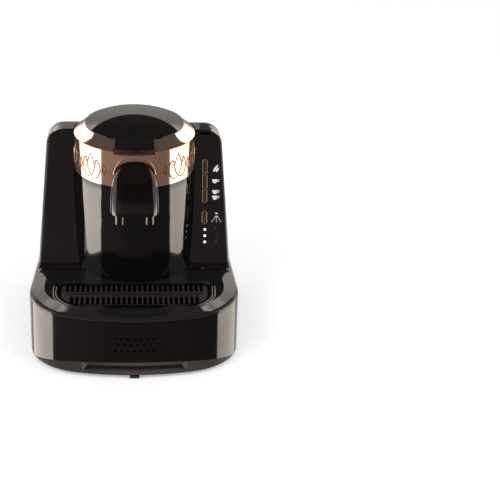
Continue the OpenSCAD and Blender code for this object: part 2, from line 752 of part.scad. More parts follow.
module tank_seat() {
    // floor of the tank bay with the socket that the valve stands in
    color([0.12, 0.12, 0.12]) difference() {
        union() {
            intersection() {
                box(-98, 98, bay_y - 2, base_back, 38.4, 41);
                plan_slab(wall, 38, 42);
            }
            translate([valve_x, valve_y, 30]) cylinder(r = 9, h = 9, $fn = 48);
            for (x = [-86, -30, 86]) box(x - 2, x + 2, bay_y + 4, bay_y + 24, pan_top, 38.5);
        }
        translate([valve_x, valve_y, 33]) cylinder(r = 5.4, h = 30, $fn = 48);
    }
}
tank_hinge_y = tank_back - 3.9;
tank_hinge_z = 225;

module tank_lid() {
    inner = ring_r + 1.8;
    color([0.1, 0.1, 0.1]) difference() {
        union() {
            difference() {
                intersection() {
                    tower_solid(0, 0, 180);
                    side_view(concat([[rim_y + gap, 290]],
                        [for (p = crown(lid_t)) if (p[0] > rim_y - 1) [max(p[0], rim_y + gap), p[1]]],
                        [[160, 290]]));
                }
                intersection() {
                    tower_solid(2.6, 2.6, 170);
                    difference() {
                        box(-150, 150, rim_y + 3, 160, 0, 300);
                        at_column() cylinder(r = inner + 2.4, h = 300, $fn = 120);
                    }
                }
                at_column() cylinder(r = inner, h = 300, $fn = 120);
            }
            // hinge knuckles
            for (x = [-62, 62]) intersection() {
                along_x(tank_hinge_y, tank_hinge_z) translate([0, 0, x - 4.4])
                    cylinder(r = 3.5, h = 8.8, $fn = 48);
                tower_solid(0, 0.6, 180);
            }
            for (x = [-62, 62]) intersection() {
                box(x - 4.4, x + 4.4, tank_hinge_y - 3, tank_hinge_y + 3, tank_hinge_z, 250);
                tower_solid(0.6, 1, 180);
            }
        }
        along_x(tank_hinge_y, tank_hinge_z) cylinder(r = pin_r + 0.06, h = 200, center = true, $fn = 48);
        box(tab_x - 6.4, tab_x + 6.4, 20, rim_y + 22, shoulder_z - 4, 290);
        // notches for the tank's ears
        for (x = [-70, 70]) box(x - 3.4, x + 3.4, tank_hinge_y - 3.7, 150, 200, 260);
    }
}
module tank_lid_tab() {
    color([0.05, 0.05, 0.05]) difference() {
        intersection() {
            box(tab_x - 6.4, tab_x + 6.4, rim_y - 12, rim_y + 22, shoulder_z - 4, shoulder_z);
            tower_solid(-0.4, 0.4, 180);
        }
        box(tab_x - 6.4, tab_x + 6.4, rim_y - 14, rim_y + 3, shoulder_z - 6, shoulder_z - 3);
    }
}
module tank_hinge_pin() {
    color("silver") for (x = [-1, 1]) along_x(tank_hinge_y, tank_hinge_z)
        translate([0, 0, x * 65 - 8]) cylinder(r = pin_r, h = 16, $fn = 48);
}

// ---------------------------------------------------------------- pump, hoses, board

pump_y = 52;
pump_z = 34;
mount_x = [-30, 39.5];
pan_top = foot_h + 3;   // upper side of the base pan

// Round tube swept along a smooth curve through the listed points
hose_sides = 10;
hose_rings = 5;         // rings on each stretch between two points
function point_on(p, i, t) =     // Catmull-Rom curve
    let (n = len(p) - 1, a = p[max(i - 1, 0)], b = p[i], c = p[min(i + 1, n)], d = p[min(i + 2, n)])
    0.5 * (2 * b + (c - a) * t + (2 * a - 5 * b + 4 * c - d) * t * t + (3 * b - a - 3 * c + d) * t * t * t);
function unit(v) = v / norm(v);
module tube(points, r) {
    line = [for (i = [0:len(points) - 2], k = [0:hose_rings - 1]) point_on(points, i, k / hose_rings),
            points[len(points) - 1]];
    last = len(line) - 1;
    loft([for (i = [last:-1:0])
        let (along = unit(line[min(i + 1, last)] - line[max(i - 1, 0)]),
             side = unit(cross(along, [1, 1, 1])), up = cross(side, along))
        [for (j = [0:hose_sides - 1]) line[i] + r * (cos(360 * j / hose_sides) * side
            + sin(360 * j / hose_sides) * up)]]);
}
module pump() {
    color([0.8, 0.8, 0.78]) {
        translate([-42, pump_y, pump_z]) rotate([0, 90, 0]) rotate_extrude() polygon([
            [0, 0], [14, 0], [14, 26], [19, 28], [19, 70], [14, 72], [14, 84], [0, 84]]);
        translate([42, pump_y, pump_z]) rotate([0, 90, 0]) cylinder(r = 4, h = 12, $fn = 32);
        translate([-54, pump_y, pump_z]) rotate([0, 90, 0]) cylinder(r = 4, h = 12, $fn = 32);
    }
}
module pump_mounts() {
    color([0.05, 0.05, 0.05]) for (x = mount_x) translate([x, pump_y, 15]) difference() {
        cylinder(r = 9, h = 8, $fn = 48);
        translate([-12, 0, pump_z - 15]) rotate([0, 90, 0]) cylinder(r = 14, h = 24);
    }
}
module inlet_hose() {
    color([0.85, 0.85, 0.85]) tube([[valve_x, valve_y, 29.9], [valve_x, valve_y, 26.6], [valve_x, valve_y, 23],
        [valve_x + 5, 112, 15], [76, 88, 17], [80, 64, 27], [70, pump_y + 1, pump_z],
        [54, pump_y, pump_z]], 3.4);
}
module outlet_hose() {
    inlet = [cos(inlet_turn), sin(inlet_turn)];
    color([0.85, 0.85, 0.85]) tube([[-54, pump_y, pump_z], [-68, pump_y + 1, pump_z + 1],
        [-85, 64, 44], [-91, 80, 66], [-92, 88, 100], [-92, 89, 150], [-91, 91, 200],
        [-84, 97, 224], [inlet[0] * 93, column_y + inlet[1] * 93, inlet_z],
        [inlet[0] * 72, column_y + inlet[1] * 72, inlet_z],
        [inlet[0] * pot_r, column_y + inlet[1] * pot_r, inlet_z]], 3.4);
}
module main_board() {
    color([0.05, 0.3, 0.12]) {
        box(-60, 62, 0, 38, 16, 17.6);
        for (x = [-54, 56], y = [4, 34]) translate([x, y, pan_top]) cylinder(r = 3, h = 8.1, $fn = 24);
    }
    color([0.7, 0.7, 0.7]) box(-50, -24, 8, 30, 17.5, 36);
    color([0.1, 0.1, 0.1]) box(-16, 2, 10, 26, 17.5, 31);
    color([0.2, 0.3, 0.5]) translate([16, 18, 17.5]) cylinder(r = 6, h = 20, $fn = 32);
}

// ---------------------------------------------------------------- tray, grille, drawer

tray_floor = 62;
module drip_tray() {
    color([0.1, 0.1, 0.1]) difference() {
        union() {
            tray_slab(0.8, tray_floor, deck_z - 2.5);
            tray_slab(0.4, deck_z - 5, deck_z - 0.2);
        }
        tray_slab(2.6, tray_floor + 2, deck_z - 4);
        tray_slab(4, deck_z - 4.01, deck_z + 1);
        translate([0, tray_cy, 50]) cylinder(r = 4, h = 40, $fn = 32);
    }
}

grille_z0 = deck_z - 4;
grille_z1 = deck_z - 0.4;
bar_y = -78;
slot_rows = [[-105, -82.6], [-73.4, -54.6]];
slot_count = 13;        // slots on each side of the centre slot

module drip_grille() {
    color([0.13, 0.12, 0.12]) difference() {
        union() {
            tray_slab(4.3, grille_z0, grille_z1 - 1);
            tray_slab(7, grille_z0, grille_z1);
        }
        for (row = slot_rows, i = [-slot_count:slot_count])
            if (abs(i) < slot_count || row[0] > -100)
                box(i * slot_pitch - slot_w / 2, i * slot_pitch + slot_w / 2,
                    row[0], row[1], grille_z0 - 1, grille_z1 + 1);
        box(-84, 84, bar_y - 3.4, bar_y + 3.4, grille_z1 - 2, grille_z1 + 1);
    }
}
module grille_bar() {
    color([0.16, 0.05, 0.05]) box(-83.6, 83.6, bar_y - 3, bar_y + 3, grille_z1 - 2, grille_z1 - 1);
}

module waste_container() {
    color([0.16, 0.16, 0.16]) difference() {
        intersection() {
            plan_slab(wall + chin_inset, 10, 56);
            box(-99, 99, -119, -14, 10, 56);
        }
        intersection() {
            plan_slab(wall + chin_inset + 2.2, 12, 60);
            box(-96.8, 96.8, -116.8, -16.2, 12, 60);
        }
    }
}

module cup_size_tab() {
    color([0.05, 0.05, 0.05]) {
        box(-6, 6, -137.4, -113.6, 1.4, 4.4);
        box(-5, 5, -115.4, -111.6, 4.3, 9.4);
        box(-7, 7, -117, -110.2, 8.4, 9.6);
    }
}

base_pan();
base_housing();
deck_cover();
tower_shell();
rear_cover();
column_shell();
decor_band();
spout_socket();
brew_pot();
pot_seal();
heater_plate();
heater_bracket();
temp_probe();
pour_tube();
pump();
pump_mounts();
inlet_hose();
outlet_hose();
main_board();
control_board();
buzzer();
led_lenses();
tank_seat();
cord_gland();
feet();
base_screws();
cover_screws();
lid_hinge_pin();
brew_lid();
lid_liner();
lid_seal();
spout_hood();
spout_channel();
nozzle_left();
nozzle_right();
button_flame();
button_one_cup();
button_two_cups();
button_rinse();
water_tank();
tank_grip();
tank_valve();
tank_hinge_pin();
tank_lid();
tank_lid_tab();
drip_tray();
drip_grille();
grille_bar();
waste_container();
front_panel();
cup_size_tab();
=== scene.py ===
import json
import math

import bmesh
import bpy
from mathutils import Matrix, Vector


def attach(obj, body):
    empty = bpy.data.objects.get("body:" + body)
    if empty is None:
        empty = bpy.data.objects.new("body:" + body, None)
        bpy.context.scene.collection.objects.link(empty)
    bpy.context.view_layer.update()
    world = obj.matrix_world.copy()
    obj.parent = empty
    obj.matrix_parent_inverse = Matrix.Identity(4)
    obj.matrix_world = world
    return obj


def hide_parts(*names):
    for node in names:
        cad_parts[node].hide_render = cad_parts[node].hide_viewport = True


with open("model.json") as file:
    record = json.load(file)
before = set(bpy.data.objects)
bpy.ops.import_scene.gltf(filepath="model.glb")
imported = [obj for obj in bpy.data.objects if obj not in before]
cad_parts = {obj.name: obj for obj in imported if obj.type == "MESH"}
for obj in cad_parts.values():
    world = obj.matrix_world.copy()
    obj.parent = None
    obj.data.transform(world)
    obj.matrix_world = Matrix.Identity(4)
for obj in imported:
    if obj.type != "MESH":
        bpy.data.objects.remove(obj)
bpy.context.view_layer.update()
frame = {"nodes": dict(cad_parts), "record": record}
cad = frame["nodes"]
scene = bpy.context.scene

MM = 0.001

# Sizes that the finishing pieces share with the solids, in millimetres
COLUMN_Y = 29.0
RING_R = 75.6
RING_BEVEL_Z = 255.0
DOME_R = 140.0
DOME_RIM = (61.4, 274.0)
HOOD_TOP = 251.5
HOOD_LOW = 195.4
HOOD_HALF = 30.0
HOOD_DEEP = 40.0
HOOD_BACK = COLUMN_Y - 68.0
DECK_Z = 88.0
DECK_EDGE_Z = 81.5
WELL_FRONT_Y = -112.0
FACE_Y = -6.0
FACE_Z = 87.0
FACE_LEAN = 0.2286
FACE_ANGLE = math.atan(FACE_LEAN)
TAB_X = 88.4
TAB_HALF = 7.6
BUTTON_X = 88.8
BUTTON_W = 7.2
PILL_L = 18.2
KEY_PROUD = 1.18
CHIN_INSET = 1.6
CHIN_SLOPE = 0.18
CREASE_Z = 25.6
CREASE_CLIMB = 0.37
RECESS_HALF = 64.0
RECESS_Y = (-136.5, -122.0)
RECESS_Z = (9.5, 20.0)


# ---------------------------------------------------------------- small tools

def add_object(name, data):
    """Links a mesh, lamp or camera as an object at the origin."""
    piece = bpy.data.objects.new(name, data)
    scene.collection.objects.link(piece)
    return piece


def mesh_from(name, points, faces):
    """A mesh from points in millimetres."""
    mesh = bpy.data.meshes.new(name)
    mesh.from_pydata([Vector(p) * MM for p in points], [], faces)
    mesh.validate()
    return mesh


def settle(piece):
    """Bakes the live modifiers of a piece into its mesh."""
    bpy.context.view_layer.update()
    baked = bpy.data.meshes.new_from_object(
        piece.evaluated_get(bpy.context.evaluated_depsgraph_get()))
    piece.modifiers.clear()
    piece.data = baked


def clean(mesh, merge=2e-6, turn_out=False):
    """Merges doubled points. A shape made by a sweep has its faces turned outwards."""
    work = bmesh.new()
    work.from_mesh(mesh)
    bmesh.ops.remove_doubles(work, verts=work.verts, dist=merge)
    if turn_out:
        bmesh.ops.recalc_face_normals(work, faces=work.faces)
    work.to_mesh(mesh)
    work.free()


def shade(piece, angle=32):
    """Smooth shading that stops at edges sharper than the angle."""
    mesh = piece.data
    mesh.polygons.foreach_set("use_smooth", [True] * len(mesh.polygons))
    mesh.set_sharp_from_angle(angle=math.radians(angle))


def finish_piece(piece, body, finish):
    """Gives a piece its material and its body."""
    piece.data.materials.clear()
    piece.data.materials.append(finish)
    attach(piece, body)
    return piece


def body_of(node):
    """Name of the rigid body that a solid belongs to."""
    for name, members in frame["record"]["behaviour"]["bodies"].items():
        if node in members:
            return name
    raise KeyError(node)


def dress(node, finish, angle=32, edge=0.0, steps=2):
    """A merged, softly shaded copy of a solid that stands for it, with small radii on its edges."""
    piece = add_object(node + "_skin", cad[node].data.copy())
    clean(piece.data)
    if edge:
        work = bmesh.new()
        work.from_mesh(piece.data)
        bmesh.ops.dissolve_limit(work, angle_limit=math.radians(0.4), verts=work.verts,
                                 edges=work.edges)
        work.to_mesh(piece.data)
        work.free()
        bevel = piece.modifiers.new("edge", "BEVEL")
        bevel.width = edge * MM
        bevel.segments = steps
        bevel.limit_method = "ANGLE"
        bevel.angle_limit = math.radians(40)
        bevel.use_clamp_overlap = True
        bevel.harden_normals = False
        settle(piece)
    shade(piece, angle)
    weighted = piece.modifiers.new("normals", "WEIGHTED_NORMAL")
    weighted.keep_sharp = True
    weighted.weight = 80
    settle(piece)
    finish_piece(piece, body_of(node), finish)
    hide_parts(node)
    return piece


def true_normals(piece, rule):
    """Shades a piece with the normals of the true surface, where the rule knows them."""
    mesh = piece.data
    normals = [corner.vector.copy() for corner in mesh.corner_normals]
    for face in mesh.polygons:
        for corner in face.loop_indices:
            point = mesh.vertices[mesh.loops[corner].vertex_index].co / MM
            exact = rule(point, face.normal)
            if exact is not None:
                normals[corner] = exact.normalized()
    mesh.normals_split_custom_set(normals)


# Centres of the arcs of the base outline, right half, in millimetres
FRONT_CY, FRONT_R = 155.0, 295.0
CORNER_X, CORNER_CY, CORNER_R = 56.0, -58.79, 74.0
REAR_X, REAR_CY, REAR_R = 90.0, 110.0, 30.0
FRONT_HALF = math.asin(CORNER_X / (FRONT_R - CORNER_R))
SIDE_TILT = math.radians(3.42)


def outline_at(x, y):
    """Outward direction of the base outline next to a point, and how far inside it the point is."""
    side = 1 if x >= 0 else -1
    x = abs(x)
    turn = math.atan2(y - CORNER_CY, x - CORNER_X)
    if turn < -math.pi / 2 + FRONT_HALF:
        turn = math.atan2(y - FRONT_CY, x)
        inset = FRONT_R - math.hypot(x, y - FRONT_CY)
    elif turn < SIDE_TILT:
        inset = CORNER_R - math.hypot(x - CORNER_X, y - CORNER_CY)
    else:
        turn = max(SIDE_TILT, min(math.atan2(y - REAR_CY, x - REAR_X), math.pi / 2))
        inset = REAR_R - (x - REAR_X) * math.cos(turn) - (y - REAR_CY) * math.sin(turn)
    return Vector((side * math.cos(turn), math.sin(turn), 0)), inset


def between(value, places, levels):
    """Straight-line interpolation in a short table."""
    for i in range(1, len(places)):
        if value <= places[i]:
            share = max(0.0, (value - places[i - 1]) / (places[i] - places[i - 1]))
            return levels[i - 1] + (levels[i] - levels[i - 1]) * share
    return levels[-1]


def skirt_normal(point, facet):
    """Outer wall of the base and the front panel."""
    out, inset = outline_at(point.x, point.y)
    if abs(facet.z) < 0.4 and facet.dot(out) > 0.9 and inset < 6:
        return Vector((out.x, out.y, facet.z))
    return None


# Width of the border round the deck, and its rise in degrees at each distance from the outline
DECK_BORDER = 18.3
DECK_RISE = ((0, 0.5, 1.7, 3.4, 6, 18), (9.8, 33.5, 57.6, 73.4, 78.2, 78.2))


def deck_normal(point, facet):
    """Rounded edge and sloping border of the deck."""
    out, inset = outline_at(point.x, point.y)
    level = Vector((facet.x, facet.y, 0)).normalized()
    if not -0.1 <= facet.z <= 0.995 or inset > DECK_BORDER or level.dot(out) < 0.95:
        return None
    rise = 0.0
    if point.z >= DECK_EDGE_Z:
        rise = math.radians(between(inset, *DECK_RISE))
    return Vector((out.x * math.cos(rise), out.y * math.cos(rise), math.sin(rise)))


DOME_Z = DOME_RIM[1] - math.sqrt(DOME_R ** 2 - DOME_RIM[0] ** 2)


def dome_normal(point, facet):
    """Domed top of the brewing lid."""
    out = point - Vector((0, COLUMN_Y, DOME_Z))
    if abs(out.length - DOME_R) < 0.15 and out.normalized().dot(facet) > 0.99:
        return out
    return None


HOOD_POWER = 4.6


def hood_shape(x, y, z):
    """Zero on the outer surface of the spout hood, above zero outside it."""
    s = min(max((HOOD_TOP - z) / (HOOD_TOP - HOOD_LOW), 0.002), 1.0)
    half = HOOD_HALF * (1 - (1 - s) ** 2.7) ** 0.4
    front = COLUMN_Y - RING_R - 1 - HOOD_DEEP * math.sin(math.pi / 2 * s) ** 0.85
    deep = max(0.0, HOOD_BACK - y) / max(HOOD_BACK - front, 1)
    return ((abs(x) / half) ** HOOD_POWER + deep ** HOOD_POWER) ** (1 / HOOD_POWER) - 1


def hood_normal(point, facet):
    """Curved skin of the spout hood."""
    if abs(hood_shape(*point)) > 0.03 or point.z < HOOD_LOW - 0.1:
        return None
    step = 0.05
    ways = [Vector(way) * step for way in ((1, 0, 0), (0, 1, 0), (0, 0, 1))]
    slope = Vector([hood_shape(*(point + way)) - hood_shape(*(point - way)) for way in ways])
    if slope.length < 1e-9 or slope.normalized().dot(facet) < 0.8:
        return None
    return slope


# ---------------------------------------------------------------- materials

class Field:
    """A number or colour that varies over a surface. Python arithmetic on it adds Math nodes."""

    def __init__(self, owner, socket):
        self.owner = owner
        self.socket = socket

    def _math(self, operation, *values):
        return self.owner.node("ShaderNodeMath", {"operation": operation}, values)

    def __add__(self, other):
        return self._math("ADD", self, other)

    __radd__ = __add__

    def __sub__(self, other):
        return self._math("SUBTRACT", self, other)

    def __rsub__(self, other):
        return self._math("SUBTRACT", other, self)

    def __mul__(self, other):
        return self._math("MULTIPLY", self, other)

    __rmul__ = __mul__

    def either(self, other):
        """The larger of the two."""
        return self._math("MAXIMUM", self, other)

    def above(self, limit):
        """1 above the limit, 0 elsewhere."""
        return self._math("GREATER_THAN", self, limit)

    def ramp(self, low, high):
        """0 below low, 1 above high, smooth between."""
        return self.owner.node("ShaderNodeMapRange", {"interpolation_type": "SMOOTHSTEP"},
                               {"Value": self, "From Min": low, "From Max": high}, "Result")


class NodeTree:
    """A node tree being made: every node comes from make."""

    def __init__(self, owner):
        owner.use_nodes = True
        self.tree = owner.node_tree
        self.tree.nodes.clear()

    def make(self, kind, settings, values):
        """Adds a node with its settings, and with values or links for its sockets."""
        node = self.tree.nodes.new(kind)
        for key, value in settings.items():
            setattr(node, key, value)
        pairs = values.items() if isinstance(values, dict) else enumerate(values)
        for key, value in pairs:
            self.feed(node.inputs[key], value)
        return node

    def feed(self, socket, value):
        """Links a field to a socket, or sets the socket's value."""
        if isinstance(value, Field):
            self.tree.links.new(value.socket, socket)
        elif isinstance(value, (tuple, list)) and len(value) == 3 and socket.type == "RGBA":
            socket.default_value = (*value, 1)
        else:
            socket.default_value = value

    def node(self, kind, settings, values, output=0):
        """Adds a node and returns one of its outputs."""
        return Field(self, self.make(kind, settings, values).outputs[output])


class Finish(NodeTree):
    """A material being made: one Principled shader, and the nodes that vary it."""

    def __init__(self, name, **constants):
        self.material = bpy.data.materials.new(name)
        super().__init__(self.material)
        self.shader = self.make("ShaderNodeBsdfPrincipled", {}, {
            key.replace("_", " "): value for key, value in constants.items()})
        self.make("ShaderNodeOutputMaterial", {}, {
            "Surface": Field(self, self.shader.outputs["BSDF"])})

    def place(self, scale=(1, 1, 1)):
        """Object coordinates, scaled."""
        where = self.node("ShaderNodeTexCoord", {}, {}, "Object")
        return self.node("ShaderNodeMapping", {}, {"Vector": where, "Scale": scale}, "Vector")

    def noise(self, scale, detail=2.0, roughness=0.5, stretch=(1, 1, 1)):
        """Noise over the surface. A small stretch along an axis draws it out along that axis."""
        return self.node("ShaderNodeTexNoise", {}, {
            "Vector": self.place(stretch), "Scale": scale, "Detail": detail,
            "Roughness": roughness})

    def mixed(self, share, first, second):
        """A colour between two, by share."""
        return self.node("ShaderNodeMix", {"data_type": "RGBA"},
                         {"Factor": share, 6: first, 7: second}, 2)

    def set(self, **inputs):
        """Feeds inputs of the shader, named with underscores for spaces."""
        for key, value in inputs.items():
            self.feed(self.shader.inputs[key.replace("_", " ")], value)
        return self

    def bump(self, height, distance, strength=1.0):
        """Surface relief from a height field, in metres."""
        relief = self.node("ShaderNodeBump", {}, {
            "Strength": strength, "Distance": distance, "Height": height}, "Normal")
        self.feed(self.shader.inputs["Normal"], relief)
        return self


def gloss_plastic(name, colour, roughness=0.05, haze=0.05):
    """High-gloss moulded plastic: even colour, faint haze where hands wipe it, a little ripple."""
    f = Finish(name, IOR=1.56)
    wiped = f.noise(14, 3, 0.6)
    streaks = f.noise(160, 2, 0.5, (1, 1, 0.12))
    haze_mask = wiped.ramp(0.5, 0.78)
    f.set(Base_Color=f.mixed(haze_mask * 0.35, colour, [c * 1.5 + 0.0008 for c in colour]),
          Roughness=roughness + haze_mask * haze + streaks * 0.012)
    return f.bump(f.noise(420, 1.0, 0.4), 0.000006, 0.35).material


def moulded_plastic(name, colour, roughness=0.42, grain=2600, depth=0.00005, specular=0.5):
    """Satin moulded plastic with a fine spark-eroded grain."""
    f = Finish(name, IOR=1.5, Specular_IOR_Level=specular)
    grains = f.noise(grain, 2, 0.65)
    worn = f.noise(35, 3, 0.6).ramp(0.45, 0.8)
    f.set(Base_Color=f.mixed(worn * 0.5, colour, [c * 1.35 + 0.003 for c in colour]),
          Roughness=roughness - worn * 0.09 + grains * 0.05)
    return f.bump(grains, depth, 0.7).material


def plated_ring(name, colour, roughness, metallic=0.9):
    """Plating turned round the column: fine lines round it and a soft cloud in the tone."""
    f = Finish(name, Metallic=metallic)
    lines = f.noise(5200, 2, 0.7, (0.02, 0.02, 1))
    cloud = f.noise(22, 2, 0.5)
    f.set(Base_Color=f.mixed(cloud.ramp(0.35, 0.75) * 0.4, colour, [c * 0.9 for c in colour]),
          Roughness=roughness + lines * 0.04 + cloud * 0.02)
    return f.bump(lines, 0.000004, 0.2).material


def bronze_paint(name):
    """Metallic bronze paint on the keys, with fine flakes under a clear coat."""
    f = Finish(name, Metallic=0.9, Coat_Roughness=0.08)
    flakes = f.node("ShaderNodeTexVoronoi", {"feature": "F1"}, {
        "Vector": f.place(), "Scale": 6500.0, "Randomness": 1.0}, "Color")
    sparkle = f.node("ShaderNodeSeparateColor", {}, {"Color": flakes}, "Red")
    f.set(Base_Color=f.mixed(sparkle, (0.1, 0.057, 0.031), (0.215, 0.128, 0.07)),
          Roughness=0.3 + sparkle * 0.16, Coat_Weight=0.4)
    return f.bump(sparkle, 0.00001, 0.25).material


def brushed_steel(name):
    """Stainless steel with upright brushing."""
    f = Finish(name, Metallic=1.0)
    lines = f.noise(3800, 2, 0.7, (1, 1, 0.02))
    f.set(Base_Color=f.mixed(lines, (0.58, 0.57, 0.55), (0.72, 0.71, 0.69)),
          Roughness=0.25 + lines * 0.14)
    return f.bump(lines, 0.00001, 0.5).material


def cast_metal(name):
    """Cast aluminium with sand grain and darker pits."""
    f = Finish(name, Metallic=1.0)
    grain = f.noise(1400, 4, 0.7)
    pits = f.noise(260, 2, 0.5).ramp(0.55, 0.7)
    f.set(Base_Color=f.mixed(pits, (0.62, 0.62, 0.62), (0.42, 0.42, 0.43)),
          Roughness=0.42 + grain * 0.2)
    return f.bump(grain, 0.00012, 0.8).material


def rubber(name, colour, roughness=0.72):
    """Soft rubber or silicone: matt, a little dusty, with a moulding grain."""
    f = Finish(name, IOR=1.45)
    dust = f.noise(60, 4, 0.65).ramp(0.42, 0.85)
    grain = f.noise(3000, 2, 0.6)
    f.set(Base_Color=f.mixed(dust, colour, [c * 1.3 + 0.012 for c in colour]),
          Roughness=roughness + dust * 0.12)
    return f.bump(grain, 0.00005, 0.6).material


def circuit_board(name):
    """Green solder lacquer over copper tracks, with rows of solder points."""
    f = Finish(name, IOR=1.5, Coat_Roughness=0.12)
    tracks = f.node("ShaderNodeTexBrick", {"offset": 0.5, "squash": 2.0}, {
        "Vector": f.place(), "Scale": 260.0, "Mortar Size": 0.09, "Mortar Smooth": 0.2,
        "Brick Width": 1.4, "Row Height": 0.42}, "Fac")
    points = f.node("ShaderNodeTexVoronoi", {"feature": "F1"}, {
        "Vector": f.place(), "Scale": 330.0, "Randomness": 0.25}, "Distance")
    solder = 1 - points.ramp(0.16, 0.24)
    board = f.mixed(tracks, (0.012, 0.14, 0.05), (0.03, 0.25, 0.09))
    f.set(Base_Color=f.mixed(solder, board, (0.62, 0.62, 0.6)), Metallic=solder * 0.9,
          Roughness=0.34 - solder * 0.08, Coat_Weight=0.5)
    return f.bump(tracks + solder * 0.8, 0.00006, 0.7).material


def smoked_clear(name):
    """Clear smoked plastic of the water tank."""
    f = Finish(name, IOR=1.49, Transmission_Weight=0.9)
    scuffs = f.noise(90, 4, 0.6, (1, 1, 0.3)).ramp(0.5, 0.8)
    f.set(Base_Color=f.mixed(scuffs * 0.4, (0.17, 0.16, 0.17), (0.24, 0.23, 0.24)),
          Roughness=0.05 + scuffs * 0.12)
    return f.bump(f.noise(300, 1, 0.5), 0.00002, 0.2).material


def lamp_lens(name, glow):
    """Clear lamp lens, lit from behind."""
    f = Finish(name, IOR=1.5, Emission_Strength=glow)
    cells = f.noise(1800, 1, 0.5)
    f.set(Base_Color=f.mixed(cells, (0.82, 0.82, 0.8), (0.92, 0.92, 0.9)),
          Emission_Color=f.mixed(cells, (1.0, 0.96, 0.9), (1.0, 1.0, 0.98)),
          Roughness=0.2 + cells * 0.1)
    return f.bump(cells, 0.00003, 0.4).material


def print_ink(name, colour):
    """Screen-printed ink, a touch uneven at its edges and in its cover."""
    f = Finish(name, IOR=1.45)
    cover = f.noise(2400, 3, 0.6)
    f.set(Base_Color=f.mixed(cover.ramp(0.3, 0.8), colour, [c * 0.88 for c in colour]),
          Roughness=0.5 + cover * 0.1)
    return f.bump(cover, 0.00001, 0.4).material


black_gloss = gloss_plastic("black_gloss_plastic", (0.0034, 0.0026, 0.0025))
# Black gloss for the deck, lightened: painted reflection on its flat field
deck_gloss_painted_reflection = gloss_plastic("deck_gloss_painted_reflection", (0.011, 0.0098, 0.0102))
black_gloss_hood = gloss_plastic("black_gloss_hood", (0.0026, 0.002, 0.002), 0.045, 0.03)
black_satin = moulded_plastic("black_satin_plastic", (0.016, 0.0145, 0.0145))
dull_black = moulded_plastic("dull_black_plastic", (0.008, 0.007, 0.007), 0.6, 2600, 0.00005, 0.12)
black_grille = moulded_plastic("black_grille_plastic", (0.032, 0.028, 0.028), 0.3, 3200, 0.00003)
grey_inside = moulded_plastic("grey_inner_plastic", (0.05, 0.048, 0.046), 0.5)
rose_gold = plated_ring("rose_gold_plating", (0.87, 0.56, 0.39), 0.05)
# Dark flat finish for a band under each raised line of the ring's relief: painted shade along the
# relief
relief_painted_shade = plated_ring("relief_painted_shade_band", (0.008, 0.005, 0.0035), 0.5)
# Lighter, rougher copy of the black gloss for the finger recess: painted reflection, so the deep
# recess does not render black
recess_painted_reflection = moulded_plastic("recess_painted_reflection_plastic", (0.075, 0.06, 0.056), 0.45)
bronze = bronze_paint("bronze_key_paint")
dark_red = moulded_plastic("dark_red_plastic", (0.022, 0.006, 0.007), 0.34)
steel = brushed_steel("brushed_steel")
cast_aluminium = cast_metal("cast_aluminium")
black_rubber = rubber("black_rubber", (0.014, 0.014, 0.014))
silicone = rubber("grey_silicone", (0.42, 0.42, 0.4), 0.55)
pump_plastic = moulded_plastic("pale_pump_plastic", (0.5, 0.49, 0.45), 0.4)
green_board = circuit_board("green_circuit_board")
lens = lamp_lens("lamp_lens", 1.1)
smoked = smoked_clear("smoked_tank_plastic")
white_print = print_ink("white_print", (0.82, 0.81, 0.79))
faint_print = print_ink("faint_grey_print", (0.075, 0.071, 0.069))
# Paler, fully metallic copy of the ring's plating for its chamfer: painted light, toned for how the
# chamfer catches the lamps
ring_chamfer_painted_light = plated_ring("rose_gold_chamfer_painted_light", (0.86, 0.66, 0.51), 0.05, 1.0)
rose_gold_relief = plated_ring("rose_gold_relief", (0.80, 0.53, 0.35), 0.12)
# Dark metallic finish for the raised lines round the tray's well, which are gloss black plastic:
# painted highlight
well_lip_painted_highlight = plated_ring("well_lip_painted_highlight_metal", (0.24, 0.225, 0.215), 0.1, 1.0)
# Lighter bronze for a thin raised line round each key's top: painted highlight along the key's edge
key_edge_painted_highlight = plated_ring("bronze_key_edge_painted_highlight", (0.80, 0.56, 0.38), 0.22)


# ---------------------------------------------------------------- solids that keep their shape

plain = {
    "pot_seal": silicone, "heater_plate": cast_aluminium, "heater_bracket": steel,
    "temp_probe": steel, "pour_tube": steel, "pump": pump_plastic, "pump_mounts": black_rubber,
    "inlet_hose": silicone, "outlet_hose": silicone, "main_board": green_board,
    "control_board": green_board, "buzzer": black_satin, "cord_gland": black_rubber,
    "lid_hinge_pin": steel, "lid_seal": silicone, "tank_hinge_pin": steel,
    "tank_valve": pump_plastic, "tank_seat": black_satin, "spout_channel": black_satin,
}
for node, finish in plain.items():
    cad[node].data.materials.clear()
    cad[node].data.materials.append(finish)

true_normals(dress("base_housing", black_gloss, 30), skirt_normal)


def slope_chin(piece):
    """Slopes the stepped foot of the front panel inwards below its crease."""
    for vertex in piece.data.vertices:
        point = vertex.co / MM
        out, inset = outline_at(point.x, point.y)
        depth = CREASE_Z - CREASE_CLIMB * (point.y + 140) - point.z
        if abs(inset - CHIN_INSET) < 0.35 and depth > -0.9:
            vertex.co -= out * (max(depth, 0) * CHIN_SLOPE - inset) * MM
    clean(piece.data, 2e-5)
    shade(piece, 30)


def second_finish(piece, finish, rule):
    """Gives the faces that the rule picks, by their middle and normal, a finish of their own."""
    piece.data.materials.append(finish)
    for face in piece.data.polygons:
        if rule(face.center / MM, face.normal):
            face.material_index = 1


front = dress("front_panel", black_gloss, 30)
slope_chin(front)
true_normals(front, skirt_normal)
# The finger recess in the front panel takes the lighter copy of the black gloss: painted reflection
# inside it.
second_finish(front, recess_painted_reflection, lambda middle, facet: (
    abs(middle.x) < RECESS_HALF and RECESS_Y[0] < middle.y < RECESS_Y[1]
    and RECESS_Z[0] < middle.z < RECESS_Z[1]))
